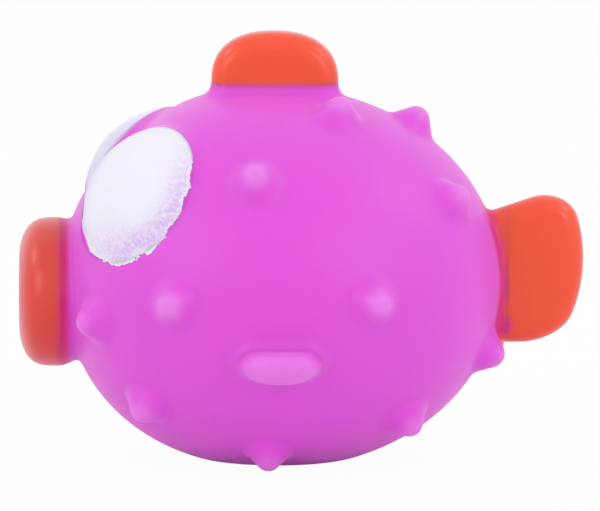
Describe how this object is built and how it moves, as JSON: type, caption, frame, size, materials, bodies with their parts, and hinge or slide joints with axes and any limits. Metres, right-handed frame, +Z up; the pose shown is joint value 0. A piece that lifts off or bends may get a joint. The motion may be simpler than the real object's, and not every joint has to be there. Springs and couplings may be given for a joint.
{
  "type": "squeaky bath toy",
  "caption": "Round puffer-fish bath toy of soft vinyl with painted fins, lips and domed eyes, small rounded nubs, a flat base and a reed squeaker that sounds when it is squeezed.",
  "frame": {"origin": "on the floor under the middle of the toy's length, in the middle of its width", "axes": "+Z up, +X from the mouth towards the tail, -Y towards the toy's left side"},
  "size_m": [0.0901, 0.0704, 0.0687],
  "materials": {
    "pink_vinyl": "soft satin vinyl",
    "orange_paint": "satin sprayed paint on vinyl",
    "red_orange_paint": "satin sprayed paint on vinyl",
    "white_paint": "matte sprayed paint on vinyl",
    "black_paint": "satin sprayed paint on vinyl",
    "squeaker_plastic": "moulded plastic",
    "reed_film": "thin springy plastic film"
  },
  "bodies": {
    "body": {"body_shell": "pink_vinyl", "tail_fin": "orange_paint", "lips": "red_orange_paint", "left_eye": "white_paint", "right_eye": "white_paint", "left_pupil": "black_paint", "right_pupil": "black_paint", "left_pectoral_fin": "pink_vinyl", "right_pectoral_fin": "pink_vinyl", "squeaker_housing": "squeaker_plastic", "reed_holder": "squeaker_plastic", "reed_clamp": "squeaker_plastic"},
    "back": {"dorsal_fin": "orange_paint"},
    "reed": {"reed": "reed_film"}
  },
  "joints": [
    {"name": "press", "type": "slide", "parent": "body", "child": "back", "axis": [0, 0, -1], "range_m": [0, 0.012], "stiffness_N_per_m": 900, "deforming": ["body_shell", "tail_fin", "lips", "left_eye", "right_eye", "left_pupil", "right_pupil", "left_pectoral_fin", "right_pectoral_fin"]},
    {"name": "reed_flex", "type": "hinge", "parent": "body", "child": "reed", "pos_m": [-0.0041, 0, 0.00755], "axis": [1, 0, 0], "range_deg": [0, 3.5], "stiffness_Nm_per_rad": 0.002}
  ]
}
